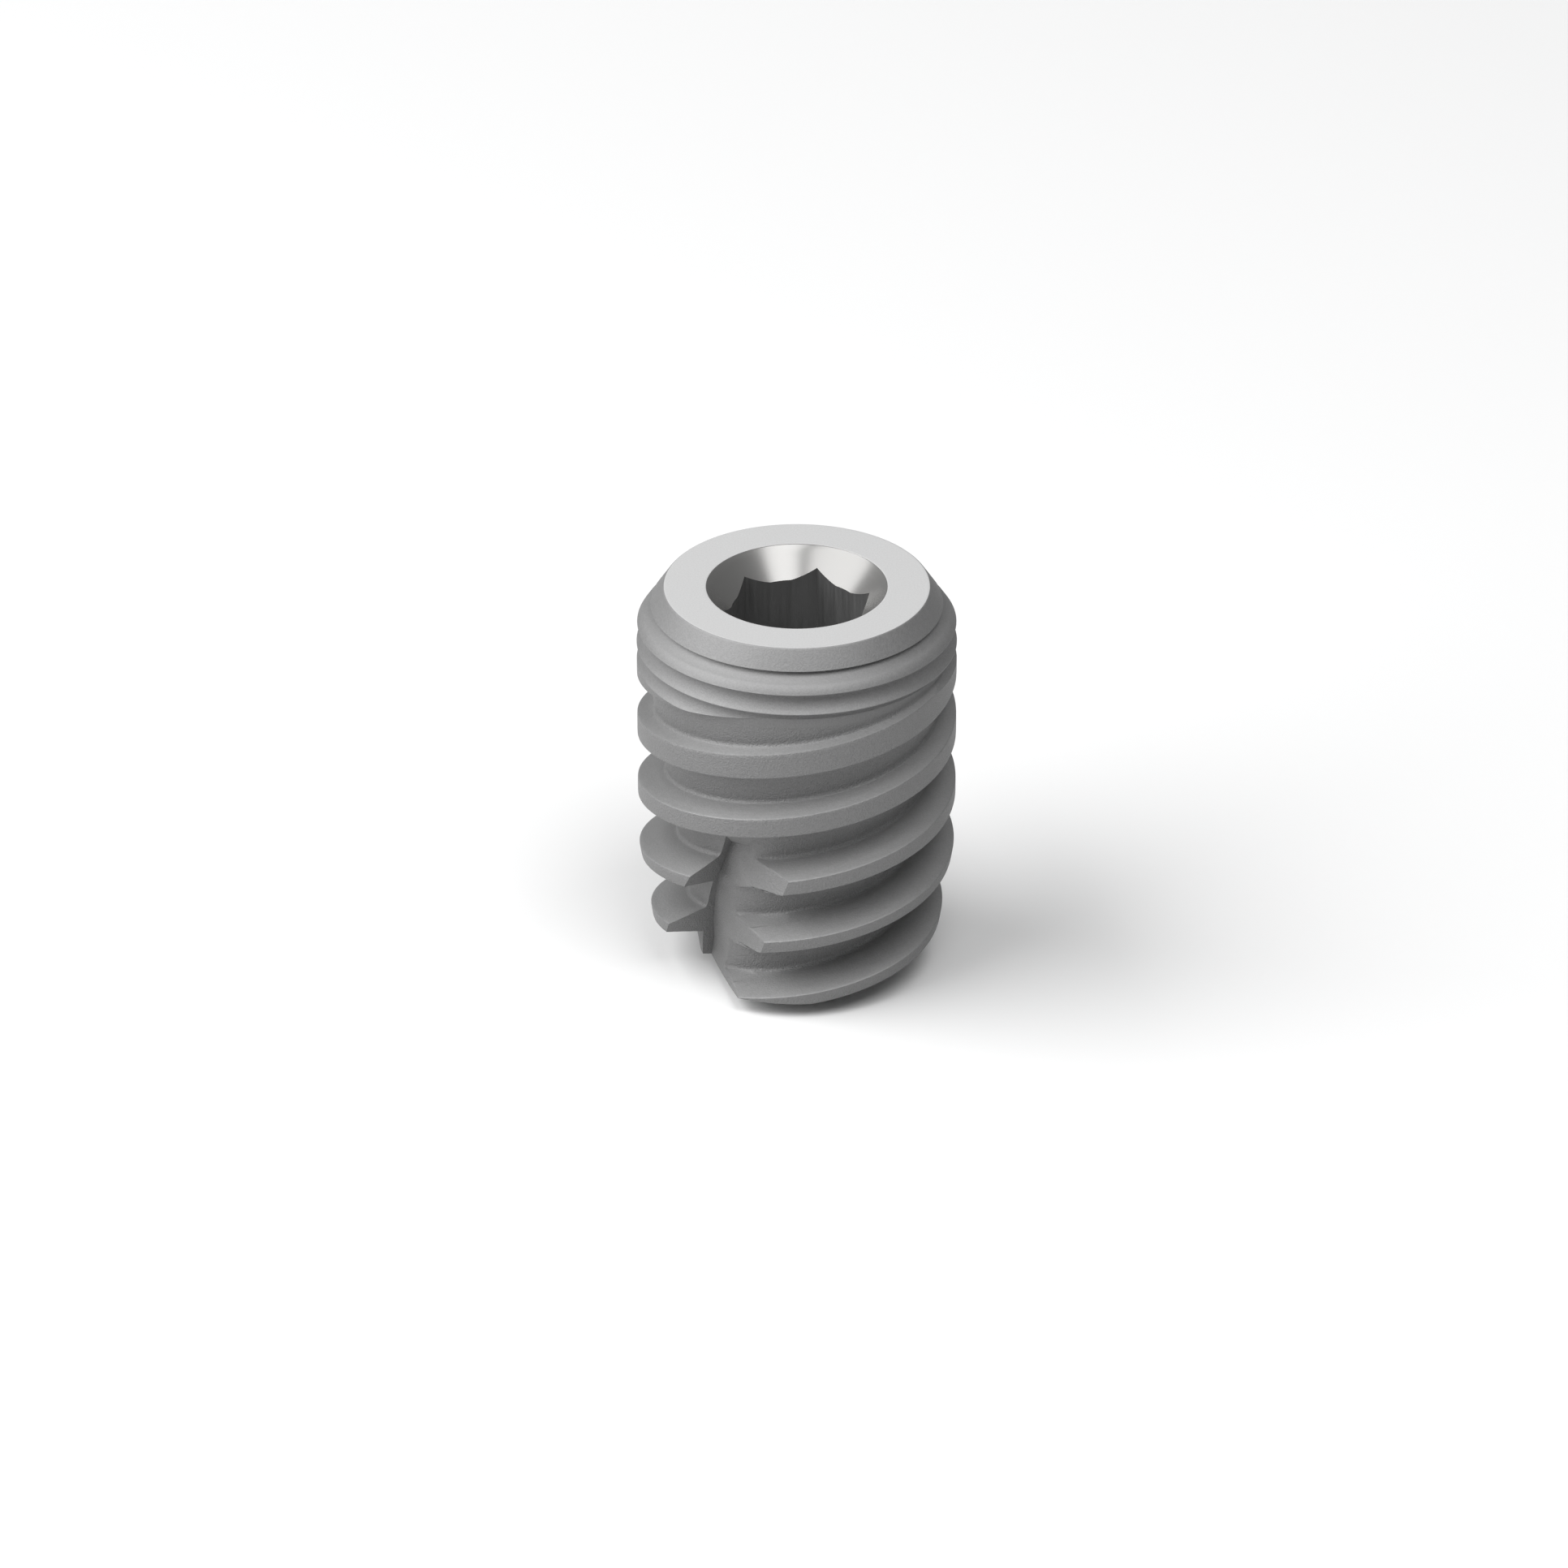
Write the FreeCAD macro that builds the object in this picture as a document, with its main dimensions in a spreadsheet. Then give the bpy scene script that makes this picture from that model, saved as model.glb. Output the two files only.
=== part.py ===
import FreeCAD, Part
import os
import Sketcher

# Dental implant: one turned piece of titanium, threaded outside and socketed inside.
# Millimetres and degrees. The origin is the centre of the flat apex and +Z points up to
# the platform. Depths are measured down from the platform, angles about the axis.

DIMENSIONS = [
    # Overall form
    ("implant_length", 7.8),
    ("body_diameter", 6.0),
    ("platform_diameter", 5.0),
    ("bevel_height", 0.755),
    ("collar_height", 1.17),
    ("upper_taper", 0.35),
    ("cone_start", 5.23),
    ("cone_angle", 9.37),
    ("thread_end", 7.49),
    ("shoulder_height", 0.105),
    ("nose_diameter", 3.0),
    ("nose_draft", 4.0),
    # Micro rings in the collar
    ("ring_start", 0.745),
    ("ring_pitch", 0.395),
    ("ring_width", 0.355),
    ("ring_cut", 0.125),
    ("bevel_ring_start", 0.371),
    ("bevel_ring_width", 0.229),
    ("bevel_ring_cut", 0.085),
    # Main thread, two starts
    ("thread_pitch", 1.3),
    ("thread_starts", 2),
    ("thread_depth", 0.766),
    ("thread_foot_depth", 4.475),
    ("root_width", 0.65),
    ("lower_flank_angle", 13.5),
    ("upper_flank_angle", 16.0),
    ("root_fillet", 0.1),
    # Spiral cutting flutes
    ("flute_count", 2),
    ("flute_start", 4.416),
    ("flute_runout", 0.34),
    ("flute_angle", -129.8),
    ("flute_twist", 32.66),
    ("flute_twist_gain", 12.44),
    ("flute_wall_offset", 0.18),
    ("flute_cut", 0.917),
    ("flute_taper_start", 5.28),
    ("flute_taper", 12.68),
    ("flute_taper_end", 7.2),
    ("flute_tilt", -8.0),
    ("flute_tilt_gain", 13.54),
    # Socket, from the mouth down to the screw bore
    ("mouth_diameter", 3.4),
    ("mouth_angle", 42.2),
    ("hexagon_flats", 2.43),
    ("hexagon_turn", 14.3),
    ("relief_diameter", 2.46),
    ("hexagon_depth", 2.0),
    ("bore_diameter", 1.6),
    ("bore_depth", 5.6),
    ("drill_angle", 59.0),
    # How far the cutting shapes reach past the metal
    ("clearance", 0.4),
]

FLUTE_SECTIONS = 5

# The sketcher's numbers for a curve's vertices and for the origin
START, END, CENTRE = 1, 2, 3
ORIGIN = -1

doc = FreeCAD.newDocument("dental_implant")
sheet = doc.addObject("Spreadsheet::Sheet", "Dimensions")
for row, (alias, number) in enumerate(DIMENSIONS, start=1):
    sheet.set(f"A{row}", alias)
    sheet.set(f"B{row}", str(number))
    sheet.setAlias(f"B{row}", alias)
doc.recompute()

body = doc.addObject("PartDesign::Body", "implant_body")
body.Label = "implant_body"


# Formulas shared by the features

def size(alias):
    return f"Dimensions.{alias}"


def tangent(alias):
    return f"tan({size(alias)} * 1 deg)"


def height(depth):
    """The height above the apex of a depth below the platform."""
    return f"({size('implant_length')} - ({depth}))"


def wall_radius(depth):
    """The upper body, which narrows slightly below the bevel."""
    return (f"({size('body_diameter')} / 2 - (({depth}) - {size('bevel_height')})"
            f" * {tangent('upper_taper')})")


def cone_radius(depth):
    """The crests of the lower body."""
    return (f"({wall_radius(size('cone_start'))} - (({depth}) - {size('cone_start')})"
            f" * {tangent('cone_angle')})")


def root_radius(depth):
    """The root cone, which runs parallel to the lower crests over the whole length."""
    return f"({cone_radius(depth)} - {size('thread_depth')})"


def bevel_radius(depth):
    return (f"({size('platform_diameter')} / 2 + ({depth}) * ({size('body_diameter')}"
            f" - {size('platform_diameter')}) / 2 / {size('bevel_height')})")


# Helpers for sketches and features

def origin_feature(role):
    return next(item for item in body.Origin.OriginFeatures if item.Role == role)


def new_sketch(name, plane_role):
    sketch = body.newObject("Sketcher::SketchObject", name)
    sketch.AttachmentSupport = [(origin_feature(plane_role), "")]
    sketch.MapMode = "FlatFace"
    return sketch


def number_of(sketch, formula):
    result = sketch.evalExpression(formula)
    return float(getattr(result, "Value", result))


def point_of(sketch, corner):
    return FreeCAD.Vector(number_of(sketch, corner[0]), number_of(sketch, corner[1]), 0)


def pin(sketch, geometry, vertex, corner):
    """Hold one vertex at a pair of formulas."""
    place = point_of(sketch, corner)
    for kind, formula, start in (("DistanceX", corner[0], place.x), ("DistanceY", corner[1], place.y)):
        index = sketch.addConstraint(Sketcher.Constraint(kind, ORIGIN, START, geometry, vertex, start))
        sketch.setExpression(f"Constraints[{index}]", formula)


def arc_vertex(arc, place):
    """Which end of an arc lies at a place."""
    if (arc.StartPoint - place).Length < (arc.EndPoint - place).Length:
        return START
    return END


def draw_outline(sketch, corners):
    """Close a chain of lines through corners that are pairs of formulas."""
    places = [point_of(sketch, corner) for corner in corners]
    for index, place in enumerate(places):
        following = places[(index + 1) % len(places)]
        sketch.addGeometry(Part.LineSegment(place, following))
    for index in range(len(corners)):
        following = (index + 1) % len(corners)
        sketch.addConstraint(Sketcher.Constraint("Coincident", index, END, following, START))
    for index, corner in enumerate(corners):
        pin(sketch, index, START, corner)


def turn(kind, name, sketch):
    """Revolve a sketch about the implant's axis, to add or to cut."""
    feature = body.newObject(f"PartDesign::{kind}", name)
    feature.Profile = sketch
    feature.ReferenceAxis = (origin_feature("Z_Axis"), [""])
    feature.Angle = 360
    return feature


def pattern(name, originals, count_alias):
    feature = body.newObject("PartDesign::PolarPattern", name)
    feature.Originals = originals
    feature.Axis = (origin_feature("Z_Axis"), [""])
    feature.Angle = 360
    feature.setExpression("Occurrences", size(count_alias))
    body.Tip = feature
    return feature


volumes = []


def finish(name, grows):
    """Recompute and make sure that the last feature changed the metal the right way."""
    doc.recompute()
    volume = body.Shape.Volume
    if volumes and (volume > volumes[-1]) != grows:
        raise RuntimeError(f"{name} changed the volume the wrong way")
    volumes.append(volume)
    print(f"{name}: {volume:.3f} mm3")


# Shank: a gently tapered cylinder, a cone, a shallow shoulder and a short nose

shoulder_end = f"{size('thread_end')} + {size('shoulder_height')}"
nose_radius = f"{size('nose_diameter')} / 2"
nose_end_radius = (f"({nose_radius} - ({size('implant_length')} - {shoulder_end})"
                   f" * {tangent('nose_draft')})")

shank_profile = new_sketch("shank_profile", "XZ_Plane")
draw_outline(shank_profile, [
    ("0", "0"),
    (nose_end_radius, "0"),
    (nose_radius, height(shoulder_end)),
    (cone_radius(size("thread_end")), height(size("thread_end"))),
    (wall_radius(size("cone_start")), height(size("cone_start"))),
    (wall_radius(size("collar_height")), height(size("collar_height"))),
    ("0", height(size("collar_height"))),
])
turn("Revolution", "shank", shank_profile)
finish("shank", True)


# Main thread: a trapezoidal groove that climbs the root cone, repeated for each start.
# The groove leaves the metal by itself near the collar, where both cones meet.

lead = f"({size('thread_pitch')} * {size('thread_starts')})"
profile_phase = f"({size('thread_foot_depth')} - {lead} / 4)"
foot_depth = (f"({profile_phase} + {size('thread_pitch')} * ceil(({size('implant_length')}"
              f" + {size('thread_pitch')} - {profile_phase}) / {size('thread_pitch')}))")
crown_depth = f"({foot_depth} - {size('root_width')})"
groove_reach = f"({size('thread_depth')} + {size('clearance')} / 2)"

foot = (root_radius(foot_depth), height(foot_depth))
crown = (root_radius(crown_depth), height(crown_depth))
foot_rim = (f"{foot[0]} + {groove_reach}",
            f"{foot[1]} - {groove_reach} * {tangent('upper_flank_angle')}")
crown_rim = (f"{crown[0]} + {groove_reach}",
             f"{crown[1]} + {groove_reach} * {tangent('lower_flank_angle')}")

groove_profile = new_sketch("groove_profile", "XZ_Plane")
foot_place = point_of(groove_profile, foot)
crown_place = point_of(groove_profile, crown)
foot_rim_place = point_of(groove_profile, foot_rim)
crown_rim_place = point_of(groove_profile, crown_rim)
along_root = (crown_place - foot_place).normalize()
along_flank = (foot_rim_place - foot_place).normalize()
fillet_size = number_of(groove_profile, size("root_fillet"))
root_end = foot_place + along_root * fillet_size
flank_start = foot_place + along_flank * fillet_size
fillet_middle = foot_place + (along_root + along_flank) * (fillet_size * 0.3)

ROOT, FILLET, FLANK, RIM, UNDERSIDE, FOOT = range(6)
groove_profile.addGeometry(Part.LineSegment(crown_place, root_end))
groove_profile.addGeometry(Part.Arc(root_end, fillet_middle, flank_start))
groove_profile.addGeometry(Part.LineSegment(flank_start, foot_rim_place))
groove_profile.addGeometry(Part.LineSegment(foot_rim_place, crown_rim_place))
groove_profile.addGeometry(Part.LineSegment(crown_rim_place, crown_place))
groove_profile.addGeometry(Part.Point(foot_place), True)

fillet_arc = groove_profile.Geometry[FILLET]
root_vertex = arc_vertex(fillet_arc, root_end)
flank_vertex = arc_vertex(fillet_arc, flank_start)
for constraint in (
    Sketcher.Constraint("Tangent", ROOT, END, FILLET, root_vertex),
    Sketcher.Constraint("Tangent", FILLET, flank_vertex, FLANK, START),
    Sketcher.Constraint("Coincident", FLANK, END, RIM, START),
    Sketcher.Constraint("Coincident", RIM, END, UNDERSIDE, START),
    Sketcher.Constraint("Coincident", UNDERSIDE, END, ROOT, START),
    Sketcher.Constraint("PointOnObject", FOOT, START, ROOT),
    Sketcher.Constraint("PointOnObject", FOOT, START, FLANK),
):
    groove_profile.addConstraint(constraint)
pin(groove_profile, FOOT, START, foot)
pin(groove_profile, ROOT, START, crown)
pin(groove_profile, FLANK, END, foot_rim)
pin(groove_profile, RIM, END, crown_rim)
fillet_constraint = groove_profile.addConstraint(Sketcher.Constraint("Radius", FILLET, fillet_size))
groove_profile.setExpression(f"Constraints[{fillet_constraint}]", size("root_fillet"))
doc.recompute()

# The path of the groove's foot, one edge for each turn
foot_path = doc.addObject("Part::Helix", "foot_path")
foot_path.setExpression("Pitch", lead)
foot_path.setExpression("Height", f"{foot_depth} - {size('collar_height')} + {size('clearance')} * 2")
foot_path.setExpression("Radius", foot[0])
foot_path.setExpression("Angle", size("cone_angle"))
foot_path.setExpression("Placement.Base.z", foot[1])
foot_path.SegmentLength = 1
doc.recompute()

thread = body.newObject("PartDesign::SubtractivePipe", "thread_groove")
thread.Profile = groove_profile
thread.Spine = (foot_path, [f"Edge{index + 1}" for index in range(len(foot_path.Shape.Edges))])
thread.Mode = "Frenet"
finish("thread_groove", False)

thread_starts = pattern("thread_starts", [thread], "thread_starts")
finish("thread_starts", False)


# Collar: the platform, its bevel and a plain band above the thread

collar_profile = new_sketch("collar_profile", "XZ_Plane")
draw_outline(collar_profile, [
    ("0", height(size("collar_height"))),
    (wall_radius(size("collar_height")), height(size("collar_height"))),
    (f"{size('body_diameter')} / 2", height(size("bevel_height"))),
    (f"{size('platform_diameter')} / 2", size("implant_length")),
    ("0", size("implant_length")),
])
turn("Revolution", "collar", collar_profile)
finish("collar", True)


# Micro rings: each has a square upper wall and a lower side that runs out at the surface.
# The lower side is bent once in the bevel's ring and round in the others.

def ring_corners(top, width, cut, surface_radius):
    """The foot of the upper wall, the lower edge, and two corners outside the metal."""
    bottom = f"({top} + {width})"
    outside = f"({size('body_diameter')} / 2 + {size('clearance')})"
    return [
        (f"({surface_radius(top)} - {cut})", height(top)),
        (surface_radius(bottom), height(bottom)),
        (outside, height(bottom)),
        (outside, height(top)),
    ]


def cut_round_ring(name, top, width, cut, surface_radius):
    corners = ring_corners(top, width, cut, surface_radius)
    root = corners[0][0]
    rise = f"({corners[1][0]} - {root})"
    bend = f"(({rise} * {rise} + {width} * {width}) / (2 * {rise}))"
    sketch = new_sketch(f"{name}_profile", "XZ_Plane")
    wall_foot, lower_edge, lower_corner, upper_corner = [point_of(sketch, corner) for corner in corners]
    middle = point_of(sketch, (f"{root} + {bend}", height(top)))
    spoke = (wall_foot - middle).normalize() + (lower_edge - middle).normalize()
    on_arc = middle + spoke.normalize() * number_of(sketch, bend)

    ROUND, LOWER, OUTER, UPPER = range(4)
    sketch.addGeometry(Part.Arc(wall_foot, on_arc, lower_edge))
    sketch.addGeometry(Part.LineSegment(lower_edge, lower_corner))
    sketch.addGeometry(Part.LineSegment(lower_corner, upper_corner))
    sketch.addGeometry(Part.LineSegment(upper_corner, wall_foot))
    foot_vertex = arc_vertex(sketch.Geometry[ROUND], wall_foot)
    edge_vertex = arc_vertex(sketch.Geometry[ROUND], lower_edge)
    for constraint in (
        Sketcher.Constraint("Coincident", ROUND, edge_vertex, LOWER, START),
        Sketcher.Constraint("Coincident", LOWER, END, OUTER, START),
        Sketcher.Constraint("Coincident", OUTER, END, UPPER, START),
        Sketcher.Constraint("Coincident", UPPER, END, ROUND, foot_vertex),
    ):
        sketch.addConstraint(constraint)
    pin(sketch, UPPER, END, corners[0])
    pin(sketch, LOWER, START, corners[1])
    pin(sketch, OUTER, START, corners[2])
    pin(sketch, UPPER, START, corners[3])
    level = sketch.addConstraint(Sketcher.Constraint("DistanceY", ORIGIN, START, ROUND, CENTRE, middle.y))
    sketch.setExpression(f"Constraints[{level}]", height(top))
    turn("Groove", name, sketch)
    finish(name, False)


KNEE_DEPTH_SHARE = 0.45
KNEE_RISE_SHARE = 0.22

bevel_ring_profile = new_sketch("ring_1_profile", "XZ_Plane")
bevel_ring_corners = ring_corners(
    size("bevel_ring_start"), size("bevel_ring_width"), size("bevel_ring_cut"), bevel_radius)
ring_root, ring_edge = bevel_ring_corners[0][0], bevel_ring_corners[1][0]
knee = (f"({ring_root} + {KNEE_RISE_SHARE} * ({ring_edge} - {ring_root}))",
        height(f"{size('bevel_ring_start')} + {KNEE_DEPTH_SHARE} * {size('bevel_ring_width')}"))
draw_outline(bevel_ring_profile, [bevel_ring_corners[0], knee, *bevel_ring_corners[1:]])
turn("Groove", "ring_1", bevel_ring_profile)
finish("ring_1", False)

for ring_number in (2, 3):
    ring_top = f"({size('ring_start')} + {ring_number - 2} * {size('ring_pitch')})"
    cut_round_ring(f"ring_{ring_number}", ring_top, size("ring_width"), size("ring_cut"), wall_radius)


# Flutes: an L-shaped notch with a nearly radial cutting wall, which twists and deepens
# towards the apex and rises out of the metal above its start. Its twist and tilt grow
# with the share of the way from that start to the apex.

def flute_section(name, depth, corner_distance):
    share = (f"((({depth}) - {size('flute_start')})"
             f" / ({size('implant_length')} - {size('flute_start')}))")
    tilt = f"({size('flute_tilt')} + {size('flute_tilt_gain')} * {share})"
    reach = f"({size('body_diameter')} / 2 + 2 * {size('clearance')})"
    offset = size("flute_wall_offset")
    sketch = new_sketch(name, "XY_Plane")
    draw_outline(sketch, [
        (corner_distance, offset),
        (reach, offset),
        (reach, reach),
        (f"{corner_distance} - tan({tilt} * 1 deg) * ({reach} - {offset})", reach),
    ])
    sketch.setExpression("AttachmentOffset.Base.z", height(depth))
    sketch.setExpression("AttachmentOffset.Rotation.Angle",
                         f"({size('flute_angle')} - {size('flute_twist')} * {share}"
                         f" - {size('flute_twist_gain')} * {share} * {share}) * 1 deg")
    return sketch


flute_span = f"({size('implant_length')} + {size('clearance')} / 2 - {size('flute_start')})"
flute_sections = []
for section_number in range(FLUTE_SECTIONS):
    section_depth = f"({size('flute_start')} + {flute_span} * {section_number} / {FLUTE_SECTIONS - 1})"
    tapered = (f"(min(max({section_depth}; {size('flute_taper_start')}); {size('flute_taper_end')})"
               f" - {size('flute_taper_start')})")
    floor_distance = (f"({size('body_diameter')} / 2 - {size('flute_cut')}"
                      f" - {tapered} * {tangent('flute_taper')})")
    flute_sections.append(flute_section(f"flute_section_{section_number + 1}", section_depth, floor_distance))
runout_section = flute_section("flute_runout_section", f"({size('flute_start')} - {size('flute_runout')})",
                               f"({size('body_diameter')} / 2 + {size('clearance')} / 4)")
doc.recompute()

flute = body.newObject("PartDesign::SubtractiveLoft", "flute")
flute.Profile = flute_sections[0]
flute.Sections = flute_sections[1:]
flute.Ruled = False
finish("flute", False)

flute_rise = body.newObject("PartDesign::SubtractiveLoft", "flute_rise")
flute_rise.Profile = flute_sections[0]
flute_rise.Sections = [runout_section]
flute_rise.Ruled = True
finish("flute_rise", False)

flutes = pattern("flutes", [flute, flute_rise], "flute_count")
finish("flutes", False)


# Socket: a conical mouth, a round relief, a drilled screw bore, and the hexagon on top

relief_radius = f"{size('relief_diameter')} / 2"
bore_radius = f"{size('bore_diameter')} / 2"
mouth_radius = f"{size('mouth_diameter')} / 2"
relief_start = f"({mouth_radius} - {relief_radius}) / {tangent('mouth_angle')}"
bore_start = f"{size('hexagon_depth')} + ({relief_radius} - {bore_radius}) / {tangent('drill_angle')}"
bore_tip = f"{size('bore_depth')} + {bore_radius} / {tangent('drill_angle')}"

socket_profile = new_sketch("socket_profile", "XZ_Plane")
draw_outline(socket_profile, [
    ("0", size("implant_length")),
    ("0", height(bore_tip)),
    (bore_radius, height(size("bore_depth"))),
    (bore_radius, height(bore_start)),
    (relief_radius, height(size("hexagon_depth"))),
    (relief_radius, height(relief_start)),
    (mouth_radius, size("implant_length")),
])
turn("Groove", "socket", socket_profile)
finish("socket", False)

corner_radius = f"({size('hexagon_flats')} / 2 / cos(30 deg))"
hexagon_profile = new_sketch("hexagon_profile", "XY_Plane")
draw_outline(hexagon_profile, [
    (f"{corner_radius} * cos(({size('hexagon_turn')} + {60 * corner}) * 1 deg)",
     f"{corner_radius} * sin(({size('hexagon_turn')} + {60 * corner}) * 1 deg)")
    for corner in range(6)
])
hexagon_profile.setExpression("AttachmentOffset.Base.z", size("implant_length"))
hexagon = body.newObject("PartDesign::Pocket", "hexagon")
hexagon.Profile = hexagon_profile
hexagon.setExpression("Length", size("hexagon_depth"))
finish("hexagon", False)


# Check every feature, then write the part

for item in doc.Objects:
    if "Invalid" in item.State or "Error" in item.State:
        raise RuntimeError(f"{item.Name} failed: {item.State}")
shape = body.Shape
if shape.isNull() or not shape.isValid() or len(shape.Solids) != 1:
    raise RuntimeError("implant_body is not one valid solid")

os.makedirs("parts", exist_ok=True)
shape.exportStep("parts/implant_body.step")
print(f"implant_body: {shape.Volume:.3f} mm3")
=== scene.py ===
import math

import bmesh
import bpy
import numpy as np
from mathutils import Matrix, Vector


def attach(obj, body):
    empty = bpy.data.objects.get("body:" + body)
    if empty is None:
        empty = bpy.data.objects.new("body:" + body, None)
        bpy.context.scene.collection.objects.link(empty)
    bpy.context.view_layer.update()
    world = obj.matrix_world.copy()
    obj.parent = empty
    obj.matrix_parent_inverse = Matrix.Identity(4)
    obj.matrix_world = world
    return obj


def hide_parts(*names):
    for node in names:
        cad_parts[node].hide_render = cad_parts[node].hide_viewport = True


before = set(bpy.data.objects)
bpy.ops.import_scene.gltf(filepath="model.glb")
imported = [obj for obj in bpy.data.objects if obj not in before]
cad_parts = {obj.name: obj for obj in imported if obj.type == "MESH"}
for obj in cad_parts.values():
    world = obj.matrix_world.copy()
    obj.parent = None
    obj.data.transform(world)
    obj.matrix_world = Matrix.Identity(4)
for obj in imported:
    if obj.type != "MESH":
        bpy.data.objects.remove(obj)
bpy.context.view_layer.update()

# Sizes of the implant, in metres. Depths are measured down from the platform.
MM = 0.001
LENGTH = 7.8 * MM
BODY_RADIUS = 3.0 * MM
PLATFORM_RADIUS = 2.5 * MM
BEVEL_HEIGHT = 0.755 * MM
COLLAR_HEIGHT = 1.17 * MM
CONE_START = 5.23 * MM
THREAD_END = 7.49 * MM
SHOULDER_HEIGHT = 0.105 * MM
NOSE_RADIUS = 1.5 * MM
UPPER_TAPER = math.tan(math.radians(0.35))
CONE_TAPER = math.tan(math.radians(9.37))
NOSE_TAPER = math.tan(math.radians(4.0))

# Micro rings: depth of the upper wall, width and cut. The bevel's ring bulges inwards
# by KNEE from a straight line.
RINGS = [(0.371 * MM, 0.229 * MM, 0.120 * MM),
         (0.745 * MM, 0.390 * MM, 0.170 * MM),
         (1.152 * MM, 0.355 * MM, 0.175 * MM)]
KNEE = 0.056 * MM

# Main thread
PITCH = 1.3 * MM
LEAD = 2 * PITCH
THREAD_DEPTH = 0.766 * MM
FOOT_DEPTH = 3.825 * MM
ROOT_WIDTH = 0.65 * MM
LOWER_FLANK = math.tan(math.radians(13.5))
UPPER_FLANK = math.tan(math.radians(16.0))
ROOT_FILLET = 0.1 * MM
CREST_ROUND = 0.024 * MM

# Spiral flutes
FLUTE_START = 4.416 * MM
FLUTE_RUNOUT = 0.34 * MM
FLUTE_ANGLE = math.radians(-129.8)
FLUTE_TWIST = math.radians(32.66)
FLUTE_TWIST_GAIN = math.radians(12.44)
FLUTE_OFFSET = 0.18 * MM
FLUTE_CUT = 0.917 * MM
FLUTE_TAPER_START = 5.28 * MM
FLUTE_TAPER_END = 7.2 * MM
FLUTE_TAPER = math.tan(math.radians(12.68))
FLUTE_TILT = math.radians(-8.0)
FLUTE_TILT_GAIN = math.radians(13.54)
RUNOUT_CLEARANCE = 0.1 * MM
NOTCH_FIRST_ANGLE = 0.002
NOTCH_LAST_ANGLE = 2.0
FLATTEST_LEAN = 0.05

# Socket
MOUTH_RADIUS = 1.7 * MM
MOUTH_SLOPE = math.tan(math.radians(42.2))
HEXAGON_APOTHEM = 1.215 * MM
HEXAGON_TURN = math.radians(14.3)
HEXAGON_DEPTH = 2.0 * MM
RELIEF_RADIUS = 1.23 * MM
BORE_RADIUS = 0.8 * MM
BORE_DEPTH = 5.6 * MM
DRILL_SLOPE = math.tan(math.radians(59.0))
SCREW_PITCH = 0.4 * MM
SCREW_CUT = 0.17 * MM
SCREW_LEAD_IN = 0.1 * MM
SCREW_STEPS = 8

# Edge breaks on the collar. The rows beside a ring's edge take a share of the land above it.
EDGE_ROUND = 0.012 * MM
SUPPORT_REACH = 2.5 * EDGE_ROUND
SUPPORT_SHARE = 0.7
EDGE_SHARE = 0.28

# How finely the surfaces are divided
WALL_COLUMNS = 5
FLOOR_COLUMNS = 36
LAND_COLUMNS = 175
HALF_COLUMNS = WALL_COLUMNS + FLOOR_COLUMNS + LAND_COLUMNS
COLUMNS = 2 * HALF_COLUMNS
COLUMN = np.arange(COLUMNS + 1)
HALF_TURN = math.pi * (COLUMN // HALF_COLUMNS)
BORE_SHARE = 6
BAND_ROWS = 26
FIRST_PITCH = -4
LAST_PITCH = 7
WALL_LEAST_ANGLE = math.radians(0.4)
FLOOR_LEAST_ANGLE = math.radians(16)

# Rounds of the searches that settle the rows and columns
LEVEL_ROUNDS = 2
SETTLE_ROUNDS = 8
SHOULDER_ROUNDS = 30
SHOULDER_SETTLE_ROUNDS = 6
HELIX_ROUNDS = 30
EDGE_ROUNDS = 12

# Mesh clean-up
MERGE_DISTANCE = 0.0004 * MM
SHARP_ANGLE = math.radians(32)


# The turned outline

def wall_radius(depth):
    return BODY_RADIUS - (depth - BEVEL_HEIGHT) * UPPER_TAPER


def cone_radius(depth):
    return wall_radius(CONE_START) - (depth - CONE_START) * CONE_TAPER


def bevel_radius(depth):
    return PLATFORM_RADIUS + depth * (BODY_RADIUS - PLATFORM_RADIUS) / BEVEL_HEIGHT


def outline_radius(depth):
    upper = np.minimum(bevel_radius(depth), wall_radius(depth))
    return np.minimum(upper, cone_radius(depth))


def ring_radius(depth, ring):
    """The hollow lower side of a micro ring."""
    top, width, cut = ring
    root = outline_radius(top) - cut
    rise = outline_radius(top + width) - root
    inside = np.clip(depth - top, 0, width)
    if ring is RINGS[0]:
        share = inside / width
        cut_radius = root + rise * share - 4 * KNEE * share * (1 - share)
    else:
        bend = (rise * rise + width * width) / (2 * rise)
        cut_radius = root + bend - np.sqrt(bend * bend - inside * inside)
    return np.where(depth < top + width, cut_radius, outline_radius(depth))


# The thread

def softer_minimum(first, second, round_size):
    return 0.5 * (first + second - np.sqrt((first - second) ** 2 + round_size ** 2))


def foot_depth(azimuth):
    """Where the foot of the upper flank lies. It climbs by one lead in a turn."""
    return FOOT_DEPTH - LEAD * azimuth / math.tau


def foot_azimuth(depth):
    """Where the foot passes at a depth."""
    return (FOOT_DEPTH - depth) * math.tau / LEAD


def upper_flank(below_foot, root):
    """The root, its fillet and the flank below it."""
    above = ROOT_FILLET * (math.hypot(1, UPPER_FLANK) - UPPER_FLANK)
    inside = np.clip(below_foot + above, 0, ROOT_FILLET)
    fillet = ROOT_FILLET - np.sqrt(ROOT_FILLET ** 2 - inside ** 2)
    tangent_point = ROOT_FILLET / math.hypot(1, UPPER_FLANK) - above
    return root + np.where(below_foot < tangent_point, fillet, below_foot / UPPER_FLANK)


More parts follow.
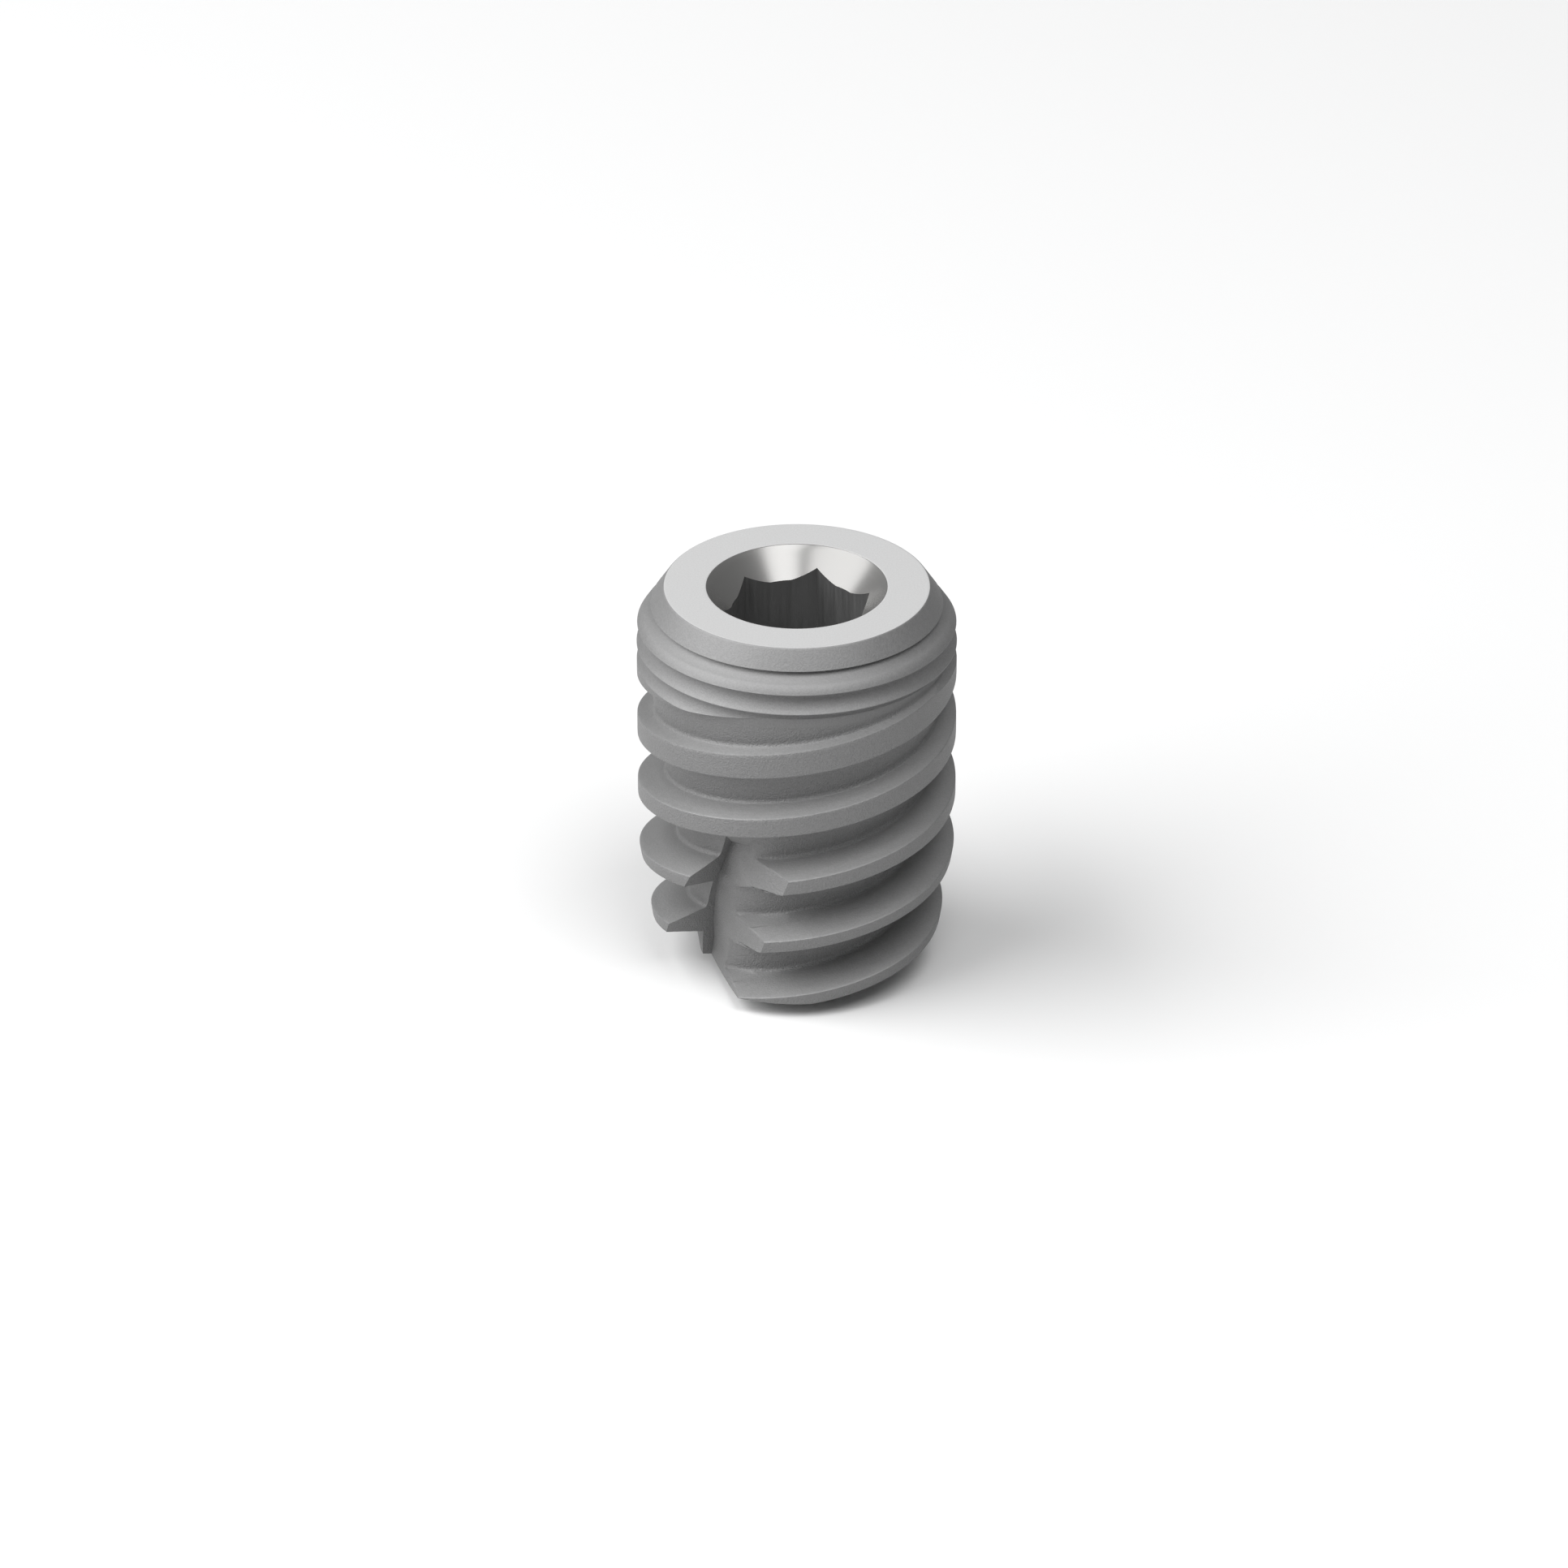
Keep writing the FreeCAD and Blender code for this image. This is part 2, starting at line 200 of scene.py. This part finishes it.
def threaded_radius(azimuth, depth):
    """The outline with both starts of the thread cut in it."""
    root = cone_radius(depth) - THREAD_DEPTH
    below_foot = np.mod(depth - foot_depth(azimuth), PITCH)
    lower_flank = root + (PITCH - ROOT_WIDTH - below_foot) / LOWER_FLANK
    tooth = softer_minimum(upper_flank(below_foot, root), lower_flank, CREST_ROUND)
    next_tooth = upper_flank(below_foot - PITCH, root)
    groove = np.where(below_foot < PITCH - ROOT_WIDTH, tooth, next_tooth)
    return softer_minimum(outline_radius(depth), groove, CREST_ROUND)


# The flutes

def flute_shape(depth):
    """Azimuth of the wall, distance of the corner and tilt of the floor."""
    share = (depth - FLUTE_START) / (LENGTH - FLUTE_START)
    azimuth = FLUTE_ANGLE - FLUTE_TWIST * share - FLUTE_TWIST_GAIN * share * share
    tilt = FLUTE_TILT + FLUTE_TILT_GAIN * share
    tapered = np.clip(depth, FLUTE_TAPER_START, FLUTE_TAPER_END) - FLUTE_TAPER_START
    corner = BODY_RADIUS - FLUTE_CUT - tapered * FLUTE_TAPER
    rising = np.clip((FLUTE_START - depth) / FLUTE_RUNOUT, 0, 1)
    corner = corner + rising * (BODY_RADIUS + RUNOUT_CLEARANCE - corner)
    return azimuth, corner, tilt


def floor_distance(corner, tilt):
    return corner * np.cos(tilt) + FLUTE_OFFSET * np.sin(tilt)


def fluted(radius, beyond_wall, depth):
    """The radius after the notch. beyond_wall is the azimuth past the flute's own."""
    _, corner, tilt = flute_shape(depth)
    wall = FLUTE_OFFSET / np.sin(np.clip(beyond_wall, NOTCH_FIRST_ANGLE, NOTCH_LAST_ANGLE))
    lean = np.cos(beyond_wall - tilt)
    floor = floor_distance(corner, tilt) / np.maximum(lean, FLATTEST_LEAN)
    notch = np.maximum(wall, floor)
    in_notch = (beyond_wall > NOTCH_FIRST_ANGLE) & (beyond_wall < NOTCH_LAST_ANGLE)
    reached = in_notch & (depth > FLUTE_START - FLUTE_RUNOUT)
    return np.where(reached, np.minimum(radius, notch), radius)


def column_angles(radius, depth):
    """Azimuth past the flute's own for every column, so that columns follow the notch.
    Each half turn holds one flute, and the last column meets the first one turn later."""
    _, corner, tilt = flute_shape(depth)
    wall_top = np.arcsin(FLUTE_OFFSET / radius)
    wall_foot = np.maximum(np.arctan2(FLUTE_OFFSET, corner), wall_top + WALL_LEAST_ANGLE)
    reach = np.clip(floor_distance(corner, tilt) / radius, 0.1, 1.0)
    floor_end = np.maximum(tilt + np.arccos(reach), wall_foot + FLOOR_LEAST_ANGLE)
    angles = np.empty_like(radius)
    column = COLUMN % HALF_COLUMNS
    for start, count, low, high in (
        (0, WALL_COLUMNS, wall_top, wall_foot),
        (WALL_COLUMNS, FLOOR_COLUMNS, wall_foot, floor_end),
        (WALL_COLUMNS + FLOOR_COLUMNS, LAND_COLUMNS, floor_end, wall_top + math.pi),
    ):
        chosen = (column >= start) & (column < start + count)
        share = (column[chosen] - start) / count
        angles[:, chosen] = low[:, chosen] + share * (high - low)[:, chosen]
    return angles


def settle_columns(depth, rounds):
    """Azimuths and radii on the columns, for a grid of depths."""
    direction, _, _ = flute_shape(depth)
    radius = outline_radius(depth)
    for _ in range(rounds):
        beyond = column_angles(radius, depth)
        azimuth = direction + beyond + HALF_TURN
        radius = threaded_radius(azimuth, depth)
    return azimuth, fluted(radius, beyond, depth)


# Rows of the surface, as (azimuth, depth, radius) grids

def level_rows(depths, radii):
    """Rings of a turned surface."""
    depth = np.repeat(np.array(depths)[:, None], COLUMNS + 1, axis=1)
    azimuth, _ = settle_columns(depth, LEVEL_ROUNDS)
    radius = np.repeat(np.array(radii)[:, None], COLUMNS + 1, axis=1)
    return azimuth, depth, radius


def collar_rows():
    """Platform edge, bevel and rings, from the top down."""
    profile = [(0.0, PLATFORM_RADIUS - EDGE_ROUND),
               (0.3 * EDGE_ROUND, PLATFORM_RADIUS - 0.3 * EDGE_ROUND),
               (EDGE_ROUND, bevel_radius(EDGE_ROUND) - 0.2 * EDGE_ROUND),
               (SUPPORT_REACH, bevel_radius(SUPPORT_REACH))]
    for ring in RINGS:
        top, width, cut = ring
        above = outline_radius(top)
        support = min(SUPPORT_REACH, SUPPORT_SHARE * (top - profile[-1][0]))
        edge = EDGE_SHARE * support
        profile.append((top - support, outline_radius(top - support)))
        profile.append((top - edge, outline_radius(top - edge)))
        profile.append((top, above - edge))
        profile.append((top, above - 0.5 * cut))
        profile.append((top, above - cut))
        if top + width > COLLAR_HEIGHT and top < COLLAR_HEIGHT:
            break
        for share in np.linspace(0.1, 1.0, 10):
            depth = top + share * width
            profile.append((depth, float(ring_radius(depth, ring))))
    depths, radii = zip(*profile)
    return level_rows(depths, radii)


def above_ring(depth):
    """How far the threaded body stands out from the last ring's lower side."""
    azimuth, radius = settle_columns(depth, SETTLE_ROUNDS)
    radius = np.where(depth > COLLAR_HEIGHT, radius, outline_radius(depth))
    return azimuth, radius - ring_radius(depth, RINGS[-1])


def band_rows():
    """The last ring's lower side, where the thread already runs out into it. The row
    next to the edge between the two is moved onto it."""
    top, width, _ = RINGS[-1]
    depths = np.linspace(top, top + width, BAND_ROWS + 1)[1:]
    depth = np.repeat(depths[:, None], COLUMNS + 1, axis=1)
    _, proud = above_ring(depth)
    high = depth[:-1].copy()
    low = depth[1:].copy()
    crossed = (proud[:-1] > 0) != (proud[1:] > 0)
    for _ in range(EDGE_ROUNDS):
        middle = 0.5 * (high + low)
        _, proud_there = above_ring(middle)
        same_side = (proud_there > 0) == (proud[:-1] > 0)
        high = np.where(same_side, middle, high)
        low = np.where(same_side, low, middle)
    edge = 0.5 * (high + low)
    nearer_upper = edge < 0.5 * (depth[:-1] + depth[1:])
    moved = depth.copy()
    moved[:-1] = np.where(crossed & nearer_upper, edge, moved[:-1])
    moved[1:] = np.where(crossed & ~nearer_upper, edge, moved[1:])
    azimuth, proud = above_ring(moved)
    return azimuth, moved, ring_radius(moved, RINGS[-1]) + np.minimum(proud, 0)


def tooth_rows(tooth_height):
    """Distances below the foot for the rows of one pitch."""
    flank_end = tooth_height * UPPER_FLANK
    crown = PITCH - ROOT_WIDTH
    crest_end = crown - tooth_height * LOWER_FLANK
    rows = [0 * tooth_height]
    rows += [flank_end * share
             for share in (0.045, 0.095, 0.14, 0.5, 0.88, 0.96, 1.0)]
    rows += [flank_end + (crest_end - flank_end) * share
             for share in (0.03, 0.12, 0.5, 0.88, 0.97, 1.0)]
    rows += [crest_end + (crown - crest_end) * share
             for share in (0.05, 0.14, 0.5, 0.92, 1.0)]
    rows += [PITCH - ROOT_WIDTH * share + 0 * tooth_height
             for share in (0.7, 0.35, 0.14, 0.112, 0.09, 0.068, 0.045, 0.022)]
    return rows


def shoulder_depth(radius):
    """Depth of the shallow shoulder that ends the threaded part."""
    edge = cone_radius(THREAD_END)
    inward = np.clip((edge - radius) / (edge - NOSE_RADIUS), 0, 1)
    return THREAD_END + SHOULDER_HEIGHT * inward


def helix_depths(row, pitch_number):
    """Depths on the columns of one row, which keeps its place on the thread's profile."""
    depth = np.full((1, COLUMNS + 1), pitch_number * PITCH + FOOT_DEPTH)
    for _ in range(HELIX_ROUNDS):
        held = np.clip(depth, 0, LENGTH + PITCH)
        tooth_height = outline_radius(held) - cone_radius(held) + THREAD_DEPTH
        below_foot = tooth_rows(tooth_height)[row]
        radius = threaded_radius(foot_azimuth(held - below_foot), held)
        direction, _, _ = flute_shape(held)
        azimuth = direction + column_angles(radius, held) + HALF_TURN
        target = foot_depth(azimuth) + pitch_number * PITCH + below_foot
        depth = 0.5 * (depth + target)
    return depth[0]


def thread_rows():
    """Rows that follow the helix, gathered on the ring above and on the shoulder below."""
    top = sum(RINGS[-1][:2])
    rows_per_pitch = len(tooth_rows(THREAD_DEPTH))
    depth = np.array([helix_depths(row, pitch_number)
                      for pitch_number in range(FIRST_PITCH, LAST_PITCH)
                      for row in range(rows_per_pitch)])
    depth = np.clip(depth, top, THREAD_END + SHOULDER_HEIGHT)
    azimuth, radius = settle_columns(depth, SETTLE_ROUNDS)
    for _ in range(SHOULDER_ROUNDS):
        held = np.minimum(depth, shoulder_depth(radius))
        depth = 0.4 * depth + 0.6 * held
        azimuth, radius = settle_columns(depth, SHOULDER_SETTLE_ROUNDS)
    return azimuth, depth, radius


def nose_rows(azimuth_above, depth_above, radius_above):
    """Shoulder, nose and the flat apex."""
    nose_top = THREAD_END + SHOULDER_HEIGHT
    last_azimuth = azimuth_above[-1]
    last_depth = depth_above[-1]
    last_radius = radius_above[-1]
    nose_azimuth, _ = settle_columns(np.full((1, COLUMNS + 1), nose_top), SETTLE_ROUNDS)
    direction, _, _ = flute_shape(nose_top)
    beyond = nose_azimuth[0] - direction - HALF_TURN
    flat = np.ones(COLUMNS + 1)
    top_radius = fluted(NOSE_RADIUS * flat, beyond, nose_top)
    rows = []
    for share in (0.25, 0.5, 0.75, 0.97, 1.0):
        rows.append((last_azimuth + share * (nose_azimuth[0] - last_azimuth),
                     last_depth + share * (nose_top - last_depth),
                     last_radius + share * (top_radius - last_radius)))
    for depth in np.linspace(nose_top, LENGTH - EDGE_ROUND, 6)[1:]:
        direction, _, _ = flute_shape(depth)
        azimuth = direction + beyond + HALF_TURN
        radius = fluted((NOSE_RADIUS - (depth - nose_top) * NOSE_TAPER) * flat, beyond, depth)
        rows.append((azimuth, depth * flat, radius))
    azimuth, _, radius = rows[-1]
    for share in (1.0, 0.7, 0.35, 0.0):
        rows.append((azimuth, LENGTH * flat, share * (radius - EDGE_ROUND)))
    return tuple(np.array(part) for part in zip(*rows))


def hexagon_radius(azimuth):
    """The hexagon with the round relief that just cuts its flats."""
    sixth = math.tau / 6
    off_flat = np.mod(azimuth - HEXAGON_TURN, sixth) - sixth / 2
    return np.maximum(RELIEF_RADIUS, HEXAGON_APOTHEM / np.cos(off_flat))


def socket_rows(first_azimuth):
    """Platform, mouth cone, hexagon and its floor, from the bore upwards and outwards."""
    even = HEXAGON_TURN + math.tau * COLUMN / COLUMNS
    steps = np.round(np.mean(first_azimuth - even) / (math.tau / COLUMNS))
    even = even + steps * math.tau / COLUMNS
    wall = hexagon_radius(even)
    meeting = (MOUTH_RADIUS - wall) / MOUTH_SLOPE
    bore_top = HEXAGON_DEPTH + (RELIEF_RADIUS - BORE_RADIUS) / DRILL_SLOPE
    flat = np.ones(COLUMNS + 1)
    rows = []
    for share in (1.0, 0.5, 0.0):
        rows.append((even, (HEXAGON_DEPTH + share * (bore_top - HEXAGON_DEPTH)) * flat,
                     (RELIEF_RADIUS + share * (BORE_RADIUS - RELIEF_RADIUS)) * flat))
    rows.append((even, HEXAGON_DEPTH * flat, wall))
    for share in (0.02, 0.3, 0.6, 0.9, 0.99, 1.0):
        rows.append((even, HEXAGON_DEPTH + share * (meeting - HEXAGON_DEPTH), wall))
    for share in (0.04, 0.25, 0.5, 0.75, 0.97):
        rows.append((even, meeting * (1 - share), wall + share * (MOUTH_RADIUS - wall)))
    rows.append((even, 0.25 * EDGE_ROUND * flat, (MOUTH_RADIUS + 0.1 * EDGE_ROUND) * flat))
    outer = PLATFORM_RADIUS - EDGE_ROUND
    inner = MOUTH_RADIUS + EDGE_ROUND
    for share in (0.0, 0.03, 0.3, 0.65, 0.96):
        rows.append((even + share * (first_azimuth - even), 0 * flat,
                     (inner + share * (outer - inner)) * flat))
    return tuple(np.array(part) for part in zip(*rows))


# Turning rows into a mesh

def corner_points(azimuth, depth, radius):
    x = radius * np.cos(azimuth)
    y = radius * np.sin(azimuth)
    return np.stack([x, y, LENGTH - depth + 0 * x], axis=-1)


def grid_faces(rows, columns, offset):
    """Four-sided faces between neighbours in a grid of points."""
    faces = []
    for row in range(rows - 1):
        low = offset + row * columns
        high = low + columns
        for column in range(columns - 1):
            faces.append((low + column, low + column + 1, high + column + 1, high + column))
    return faces


def split_faces(faces):
    """Four-sided faces cut along the diagonal that climbs as the thread does."""
    split = []
    for first, second, third, fourth in faces:
        split += [(first, second, fourth), (second, third, fourth)]
    return split


def bore_points(first_azimuth):
    """The screw bore with its fine thread and the drill's tip, on fewer columns."""
    azimuth = first_azimuth[::BORE_SHARE]
    bore_top = HEXAGON_DEPTH + (RELIEF_RADIUS - BORE_RADIUS) / DRILL_SLOPE
    thread_top = bore_top + SCREW_LEAD_IN
    rows = []
    for depth in np.arange(thread_top, BORE_DEPTH, SCREW_PITCH / SCREW_STEPS):
        phase = np.mod(depth / SCREW_PITCH + azimuth / math.tau, 1.0)
        groove = np.clip(1.15 * (1 - np.abs(2 * phase - 1)) - 0.1, 0, 1)
        nearest_end = min(depth - thread_top, BORE_DEPTH - depth)
        fade = min(1.0, nearest_end / SCREW_PITCH)
        rows.append(corner_points(azimuth, depth, BORE_RADIUS + SCREW_CUT * fade * groove))
    for share in (0.0, 0.5, 1.0):
        depth = BORE_DEPTH + share * BORE_RADIUS / DRILL_SLOPE
        rows.append(corner_points(azimuth, depth, BORE_RADIUS * (1 - share) + 0 * azimuth))
    return np.array(rows)


# Places of the materials in the mesh, and the rows of faces in the socket and its mouth
BODY, COLLAR, PLATFORM, MOUTH, SOCKET = range(5)
SOCKET_ROWS = 9
MOUTH_ROWS = 6


def implant_mesh():
    collar = collar_rows()
    band = band_rows()
    thread = thread_rows()
    nose = nose_rows(*thread)
    socket = socket_rows(collar[0][0])
    parts = [socket, collar, band, thread, nose]
    points = np.concatenate([corner_points(*part) for part in parts])
    rows = len(points)
    counts = np.cumsum([len(part[0]) for part in parts])
    faces = grid_faces(rows, COLUMNS + 1, 0)

    zone = np.empty(rows - 1, int)
    zone[:] = BODY
    zone[:SOCKET_ROWS] = SOCKET
    zone[SOCKET_ROWS:SOCKET_ROWS + MOUTH_ROWS] = MOUTH
    zone[SOCKET_ROWS + MOUTH_ROWS:counts[0]] = PLATFORM
    zone[counts[0]:counts[2] - 1] = COLLAR
    materials = np.repeat(zone, COLUMNS).tolist()

    band_start = COLUMNS * counts[1]
    band_end = COLUMNS * (counts[2] - 1)
    band_faces = split_faces(faces[band_start:band_end])
    faces[band_start:band_end] = band_faces
    materials[band_start:band_end] = [COLLAR] * len(band_faces)

    bore = bore_points(socket[0][0])
    offset = rows * (COLUMNS + 1)
    bore_columns = bore.shape[1]
    for column in range(bore_columns - 1):
        rim = range(BORE_SHARE * (column + 1), BORE_SHARE * column - 1, -1)
        faces.append((*rim, offset + column, offset + column + 1))
        materials.append(SOCKET)
    bore_faces = grid_faces(len(bore), bore_columns, offset)
    faces += bore_faces
    materials += [SOCKET] * len(bore_faces)

    vertices = np.concatenate([points.reshape(-1, 3), bore.reshape(-1, 3)])
    return vertices, faces, materials


def build_implant(materials):
    vertices, faces, zones = implant_mesh()
    mesh = bpy.data.meshes.new("implant_surface")
    mesh.from_pydata(vertices.tolist(), [], faces)
    mesh.polygons.foreach_set("material_index", zones)
    for material in materials:
        mesh.materials.append(material)
    shape = bmesh.new()
    shape.from_mesh(mesh)
    bmesh.ops.remove_doubles(shape, verts=shape.verts, dist=MERGE_DISTANCE)
    bmesh.ops.dissolve_degenerate(shape, dist=MERGE_DISTANCE, edges=shape.edges)
    bmesh.ops.recalc_face_normals(shape, faces=shape.faces)
    shape.to_mesh(mesh)
    shape.free()
    mesh.polygons.foreach_set("use_smooth", [True] * len(mesh.polygons))
    mesh.set_sharp_from_angle(angle=SHARP_ANGLE)
    implant = bpy.data.objects.new("implant_surface", mesh)
    bpy.context.scene.collection.objects.link(implant)
    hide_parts("implant_body")
    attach(implant, "root")
    return implant


# Materials

class Finish:
    """A metal with procedural grain. Lengths are in metres."""

    def __init__(self, name, colour, roughness):
        self.material = bpy.data.materials.new(name)
        self.material.use_nodes = True
        self.nodes = self.material.node_tree.nodes
        self.links = self.material.node_tree.links
        self.shader = self.nodes["Principled BSDF"]
        self.shader.inputs["Base Color"].default_value = (*colour, 1)
        self.shader.inputs["Metallic"].default_value = 1.0
        self.shader.inputs["Roughness"].default_value = roughness
        self.place = self.nodes.new("ShaderNodeTexCoord").outputs["Object"]
        self.normal = None

    def feed(self, socket, value):
        """Set a socket to a number, or link it to an output."""
        if isinstance(value, (int, float)):
            socket.default_value = value
        else:
            self.links.new(value, socket)

    def noise(self, size, detail=4.0, rough=0.55, stretch=(1, 1, 1)):
        mapping = self.nodes.new("ShaderNodeMapping")
        mapping.inputs["Scale"].default_value = tuple(part / size for part in stretch)
        self.links.new(self.place, mapping.inputs["Vector"])
        noise = self.nodes.new("ShaderNodeTexNoise")
        noise.inputs["Scale"].default_value = 1.0
        noise.inputs["Detail"].default_value = detail
        noise.inputs["Roughness"].default_value = rough
        self.links.new(mapping.outputs["Vector"], noise.inputs["Vector"])
        return noise.outputs["Fac"]

    def spread(self, source, low, high, from_low=0.3, from_high=0.7):
        node = self.nodes.new("ShaderNodeMapRange")
        node.inputs["From Min"].default_value = from_low
        node.inputs["From Max"].default_value = from_high
        node.inputs["To Min"].default_value = low
        node.inputs["To Max"].default_value = high
        self.links.new(source, node.inputs["Value"])
        return node.outputs["Result"]

    def math(self, operation, first, second):
        node = self.nodes.new("ShaderNodeMath")
        node.operation = operation
        for socket, value in zip(node.inputs, (first, second)):
            self.feed(socket, value)
        return node.outputs["Value"]

    def bump(self, height, distance, strength=1.0):
        node = self.nodes.new("ShaderNodeBump")
        self.feed(node.inputs["Strength"], strength)
        node.inputs["Distance"].default_value = distance
        self.links.new(height, node.inputs["Height"])
        if self.normal is not None:
            self.links.new(self.normal, node.inputs["Normal"])
        self.normal = node.outputs["Normal"]
        self.links.new(self.normal, self.shader.inputs["Normal"])

    def colours(self, source, stops):
        ramp = self.nodes.new("ShaderNodeValToRGB")
        while len(ramp.color_ramp.elements) < len(stops):
            ramp.color_ramp.elements.new(0.5)
        for element, (position, colour) in zip(ramp.color_ramp.elements, stops):
            element.position = position
            element.color = (*colour, 1)
        self.links.new(source, ramp.inputs["Fac"])
        self.links.new(ramp.outputs["Color"], self.shader.inputs["Base Color"])

    def axis_distance(self):
        """Distance from the implant's axis."""
        split = self.nodes.new("ShaderNodeSeparateXYZ")
        self.links.new(self.place, split.inputs["Vector"])
        x_squared = self.math("MULTIPLY", split.outputs["X"], split.outputs["X"])
        y_squared = self.math("MULTIPLY", split.outputs["Y"], split.outputs["Y"])
        return self.math("SQRT", self.math("ADD", x_squared, y_squared), 0)

    def steepness(self):
        """How much the surface faces up or down, from 0 to 1."""
        geometry = self.nodes.new("ShaderNodeNewGeometry")
        split = self.nodes.new("ShaderNodeSeparateXYZ")
        self.links.new(geometry.outputs["Normal"], split.inputs["Vector"])
        return self.math("ABSOLUTE", split.outputs["Z"], 0)

    def lines(self, distance, spacing):
        """Fine parallel tool marks along a coordinate."""
        combine = self.nodes.new("ShaderNodeCombineXYZ")
        self.links.new(self.math("DIVIDE", distance, spacing), combine.inputs["X"])
        noise = self.nodes.new("ShaderNodeTexNoise")
        noise.inputs["Scale"].default_value = 1.0
        noise.inputs["Detail"].default_value = 2.0
        self.links.new(combine.outputs["Vector"], noise.inputs["Vector"])
        return noise.outputs["Fac"]


def blasted(name, relief_height):
    """Matte blasted titanium. Flanks, which face up or down, are smoother than the rest: their
    bump is weaker. Their base colour is also painted lighter, as painted light on the flanks.
    """
    finish = Finish(name, (0.185, 0.185, 0.185), 0.6)
    finish.shader.inputs["Metallic"].default_value = 0.5
    grain = finish.noise(0.032 * MM, detail=1, rough=0.5)
    pits = finish.noise(0.08 * MM, detail=2, rough=0.5)
    relief = finish.math("ADD", grain, finish.math("MULTIPLY", pits, 0.6))
    # Base colour: random grain tone, plus painted light that makes surfaces facing up or down
    # lighter
    grain_tone_and_painted_light = finish.math("ADD", finish.spread(relief, 0.0, 0.3, 0.6, 1.0),
                        finish.spread(finish.steepness(), 0.0, 0.6, 0.6, 0.95))
    finish.colours(grain_tone_and_painted_light, [(0.0, (0.172, 0.172, 0.172)), (1.0, (0.255, 0.255, 0.255))])
    finish.links.new(finish.spread(pits, 0.57, 0.65), finish.shader.inputs["Roughness"])
    finish.bump(relief, relief_height, finish.spread(finish.steepness(), 1.0, 0.25, 0.6, 0.95))
    return finish.material


def blasted_titanium():
    return blasted("blasted_titanium", 0.016 * MM)


def blasted_collar():
    return blasted("blasted_collar", 0.0045 * MM)


def satin_platform():
    finish = Finish("satin_platform", (0.52, 0.52, 0.52), 0.5)
    finish.shader.inputs["Metallic"].default_value = 0.3
    speckle = finish.noise(0.03 * MM, detail=3)
    finish.colours(finish.spread(speckle, 0, 1),
                   [(0.0, (0.47, 0.47, 0.47)), (1.0, (0.53, 0.53, 0.53))])
    finish.bump(speckle, 0.003 * MM, 0.5)
    finish.bump(finish.lines(finish.axis_distance(), 0.012 * MM), 0.001 * MM, 0.4)
    return finish.material


def polished_mouth():
    """A turned cone, which spreads its reflections across the tool marks."""
    finish = Finish("polished_mouth", (0.188, 0.186, 0.182), 0.2)
    finish.shader.inputs["Metallic"].default_value = 0.5
    tangent = finish.nodes.new("ShaderNodeTangent")
    tangent.direction_type = "RADIAL"
    tangent.axis = "Z"
    finish.links.new(tangent.outputs["Tangent"], finish.shader.inputs["Tangent"])
    finish.shader.inputs["Anisotropic"].default_value = 0.8
    turned = finish.lines(finish.axis_distance(), 0.016 * MM)
    finish.links.new(finish.spread(turned, 0.17, 0.23), finish.shader.inputs["Roughness"])
    return finish.material


def socket_metal():
    """The broached hexagon, with faint marks along the cut."""
    finish = Finish("socket_metal", (0.21, 0.21, 0.21), 0.4)
    finish.shader.inputs["Metallic"].default_value = 0.8
    marks = finish.noise(0.06 * MM, detail=3, stretch=(1, 1, 0.05))
    finish.links.new(finish.spread(marks, 0.3, 0.5), finish.shader.inputs["Roughness"])
    finish.bump(marks, 0.004 * MM, 0.5)
    return finish.material


def floor_paint():
    material = bpy.data.materials.new("floor_paint")
    material.use_nodes = True
    shader = material.node_tree.nodes["Principled BSDF"]
    shader.inputs["Base Color"].default_value = (0.64, 0.64, 0.64, 1)
    shader.inputs["Roughness"].default_value = 0.9
    return material


# Stage, light and camera

def add_floor():
    bpy.ops.mesh.primitive_plane_add(size=0.6, location=(0, 0, 0))
    floor = bpy.context.object
    floor.name = "floor"
    floor.data.materials.append(floor_paint())


def add_softbox(name, place, target, width, height, power):
    light = bpy.data.lights.new(name, "AREA")
    light.shape = "RECTANGLE"
    light.size = width
    light.size_y = height
    light.energy = power
    lamp = bpy.data.objects.new(name, light)
    lamp.location = place
    lamp.rotation_euler = (Vector(target) - Vector(place)).to_track_quat("-Z", "Y").to_euler()
    bpy.context.scene.collection.objects.link(lamp)


def add_lights():
    world = bpy.data.worlds.new("studio")
    world.use_nodes = True
    background = world.node_tree.nodes["Background"]
    background.inputs["Color"].default_value = (0.98, 0.99, 1.0, 1)
    background.inputs["Strength"].default_value = 0.20
    bpy.context.scene.world = world
    middle = (0, 0, 0.5 * LENGTH)
    add_softbox("key_left", (-0.146, -0.036, 0.138), middle, 0.24, 0.20, 0.78)
    add_softbox("front_right", (0.044, -0.082, 0.180), middle, 0.12, 0.12, 0.30)


def add_camera():
    """A long lens at the photograph's angle. The photograph itself looks parallel."""
    elevation = math.radians(28.12)
    frame_width = 29.32 * MM
    aim = Vector((-0.239, -1.745, 4.535)) * MM
    lens = 800.0
    sensor = 36.0
    distance = frame_width * lens / sensor
    towards = Vector((0, -math.cos(elevation), math.sin(elevation)))
    camera = bpy.data.cameras.new("camera")
    camera.lens = lens
    camera.sensor_width = sensor
    camera.clip_start = 0.1
    camera.clip_end = 5.0
    holder = bpy.data.objects.new("camera", camera)
    holder.location = aim + towards * distance
    holder.rotation_euler = (-towards).to_track_quat("-Z", "Y").to_euler()
    bpy.context.scene.collection.objects.link(holder)
    bpy.context.scene.camera = holder


build_implant([blasted_titanium(), blasted_collar(), satin_platform(), polished_mouth(),
               socket_metal()])
add_floor()
add_lights()
add_camera()
bpy.context.scene.view_settings.view_transform = "Standard"
